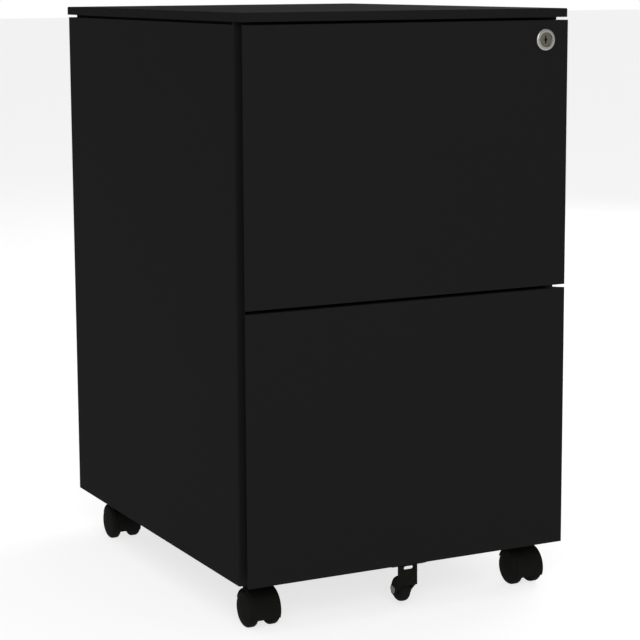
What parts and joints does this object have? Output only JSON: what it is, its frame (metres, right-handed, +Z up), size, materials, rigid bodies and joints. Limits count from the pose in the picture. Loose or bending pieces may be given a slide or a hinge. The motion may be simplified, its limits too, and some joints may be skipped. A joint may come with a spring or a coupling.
{
  "type": "rolling pedestal cabinet",
  "caption": "Black steel under-desk file pedestal: lockable drawers on ball-bearing slides, side finger grips, floating lid, swivel casters and an anti-tip wheel.",
  "frame": {"origin": "on the floor, at the middle of the whole object's box seen from above", "axes": "+X to the user's right, drawer fronts face -Y, +Z up"},
  "size_m": [0.39, 0.507, 0.65],
  "materials": {
    "powder_coat": "fine-texture black powder coat, semi-matte",
    "lid_coat": "fine-texture black powder coat, semi-matte",
    "zinc_steel": "bright zinc plate",
    "screw_steel": "zinc plate",
    "nickel": "polished nickel plate",
    "plug_metal": "satin nickel",
    "rivet_steel": "dull zinc plate",
    "caster_plastic": "moulded nylon",
    "wheel_plastic": "moulded nylon tread",
    "guide_plastic": "natural acetal"
  },
  "bodies": {
    "cabinet": {"left_side_panel": "powder_coat", "right_side_panel": "powder_coat", "back_panel": "powder_coat", "bottom_panel": "powder_coat", "top_inner_panel": "powder_coat", "top_panel": "lid_coat", "front_top_rail": "powder_coat", "slide_posts": "zinc_steel", "slide_screws": "screw_steel", "lid_screws": "screw_steel", "caster_plates": "zinc_steel", "caster_screws": "screw_steel", "lock_bar_guides": "guide_plastic", "lower_left_cabinet_slide": "zinc_steel", "lower_right_cabinet_slide": "zinc_steel", "upper_left_cabinet_slide": "zinc_steel", "upper_right_cabinet_slide": "zinc_steel"},
    "lower_drawer": {"lower_drawer_front": "powder_coat", "lower_front_liner": "powder_coat", "lower_drawer_tray": "powder_coat", "lower_drawer_back": "powder_coat", "lower_file_rails": "zinc_steel", "lower_left_drawer_slide": "zinc_steel", "lower_right_drawer_slide": "zinc_steel", "lower_drawer_screws": "screw_steel", "anti_tip_bracket": "caster_plastic", "anti_tip_axle": "rivet_steel", "bracket_screws": "screw_steel"},
    "lower_middle_slides": {"lower_middle_slides": "zinc_steel"},
    "upper_drawer": {"upper_drawer_front": "powder_coat", "upper_front_liner": "powder_coat", "upper_drawer_tray": "powder_coat", "upper_drawer_back": "powder_coat", "upper_file_rails": "zinc_steel", "upper_left_drawer_slide": "zinc_steel", "upper_right_drawer_slide": "zinc_steel", "upper_drawer_screws": "screw_steel", "lock_housing": "nickel", "lock_nut": "zinc_steel"},
    "upper_middle_slides": {"upper_middle_slides": "zinc_steel"},
    "lock_cylinder": {"lock_plug": "plug_metal", "lock_cam": "zinc_steel"},
    "lock_bar": {"lock_bar": "zinc_steel"},
    "anti_tip_wheel": {"anti_tip_wheel": "wheel_plastic"},
    "front_left_caster": {"front_left_caster_hood": "caster_plastic", "front_left_caster_axle": "screw_steel"},
    "front_left_wheel_left": {"front_left_wheel_left": "wheel_plastic"},
    "front_left_wheel_right": {"front_left_wheel_right": "wheel_plastic"},
    "front_right_caster": {"front_right_caster_hood": "caster_plastic", "front_right_caster_axle": "screw_steel"},
    "front_right_wheel_left": {"front_right_wheel_left": "wheel_plastic"},
    "front_right_wheel_right": {"front_right_wheel_right": "wheel_plastic"},
    "rear_left_caster": {"rear_left_caster_hood": "caster_plastic", "rear_left_caster_axle": "screw_steel"},
    "rear_left_wheel_left": {"rear_left_wheel_left": "wheel_plastic"},
    "rear_left_wheel_right": {"rear_left_wheel_right": "wheel_plastic"},
    "rear_right_caster": {"rear_right_caster_hood": "caster_plastic", "rear_right_caster_axle": "screw_steel"},
    "rear_right_wheel_left": {"rear_right_wheel_left": "wheel_plastic"},
    "rear_right_wheel_right": {"rear_right_wheel_right": "wheel_plastic"}
  },
  "joints": [
    {"name": "lower_drawer_slide", "type": "slide", "parent": "cabinet", "child": "lower_drawer", "axis": [0, -1, 0], "range_m": [0, 0.43]},
    {"name": "lower_middle_slide", "type": "slide", "parent": "cabinet", "child": "lower_middle_slides", "axis": [0, -1, 0], "range_m": [0, 0.215]},
    {"name": "upper_drawer_slide", "type": "slide", "parent": "cabinet", "child": "upper_drawer", "axis": [0, -1, 0], "range_m": [0, 0.43]},
    {"name": "upper_middle_slide", "type": "slide", "parent": "cabinet", "child": "upper_middle_slides", "axis": [0, -1, 0], "range_m": [0, 0.215]},
    {"name": "lock_turn", "type": "hinge", "parent": "upper_drawer", "child": "lock_cylinder", "pos_m": [0.1651, -0.2505, 0.6165], "axis": [0, 1, 0], "range_deg": [0, 90]},
    {"name": "lock_bar_lift", "type": "slide", "parent": "cabinet", "child": "lock_bar", "axis": [0, 0, 1], "range_m": [0, 0.008]},
    {"name": "anti_tip_wheel_spin", "type": "hinge", "parent": "lower_drawer", "child": "anti_tip_wheel", "pos_m": [0, -0.2281, 0.0208], "axis": [1, 0, 0], "continuous": true},
    {"name": "front_left_swivel", "type": "hinge", "parent": "cabinet", "child": "front_left_caster", "pos_m": [-0.1655, -0.1925, 0.02], "axis": [0, 0, 1], "continuous": true},
    {"name": "front_left_wheel_left_spin", "type": "hinge", "parent": "front_left_caster", "child": "front_left_wheel_left", "pos_m": [-0.1655, -0.2125, 0.02], "axis": [1, 0, 0], "continuous": true},
    {"name": "front_left_wheel_right_spin", "type": "hinge", "parent": "front_left_caster", "child": "front_left_wheel_right", "pos_m": [-0.1655, -0.2125, 0.02], "axis": [1, 0, 0], "continuous": true},
    {"name": "front_right_swivel", "type": "hinge", "parent": "cabinet", "child": "front_right_caster", "pos_m": [0.1655, -0.1925, 0.02], "axis": [0, 0, 1], "continuous": true},
    {"name": "front_right_wheel_left_spin", "type": "hinge", "parent": "front_right_caster", "child": "front_right_wheel_left", "pos_m": [0.1655, -0.2125, 0.02], "axis": [1, 0, 0], "continuous": true},
    {"name": "front_right_wheel_right_spin", "type": "hinge", "parent": "front_right_caster", "child": "front_right_wheel_right", "pos_m": [0.1655, -0.2125, 0.02], "axis": [1, 0, 0], "continuous": true},
    {"name": "rear_left_swivel", "type": "hinge", "parent": "cabinet", "child": "rear_left_caster", "pos_m": [-0.1655, 0.2015, 0.02], "axis": [0, 0, 1], "continuous": true},
    {"name": "rear_left_wheel_left_spin", "type": "hinge", "parent": "rear_left_caster", "child": "rear_left_wheel_left", "pos_m": [-0.1655, 0.1815, 0.02], "axis": [1, 0, 0], "continuous": true},
    {"name": "rear_left_wheel_right_spin", "type": "hinge", "parent": "rear_left_caster", "child": "rear_left_wheel_right", "pos_m": [-0.1655, 0.1815, 0.02], "axis": [1, 0, 0], "continuous": true},
    {"name": "rear_right_swivel", "type": "hinge", "parent": "cabinet", "child": "rear_right_caster", "pos_m": [0.1655, 0.2015, 0.02], "axis": [0, 0, 1], "continuous": true},
    {"name": "rear_right_wheel_left_spin", "type": "hinge", "parent": "rear_right_caster", "child": "rear_right_wheel_left", "pos_m": [0.1655, 0.1815, 0.02], "axis": [1, 0, 0], "continuous": true},
    {"name": "rear_right_wheel_right_spin", "type": "hinge", "parent": "rear_right_caster", "child": "rear_right_wheel_right", "pos_m": [0.1655, 0.1815, 0.02], "axis": [1, 0, 0], "continuous": true}
  ],
  "couplings": [
    {"joint": "lower_middle_slide", "follows": "lower_drawer_slide", "ratio": 0.5},
    {"joint": "upper_middle_slide", "follows": "upper_drawer_slide", "ratio": 0.5},
    {"joint": "lock_turn", "follows": "lock_bar_lift", "rad_per_m": 196.3}
  ]
}
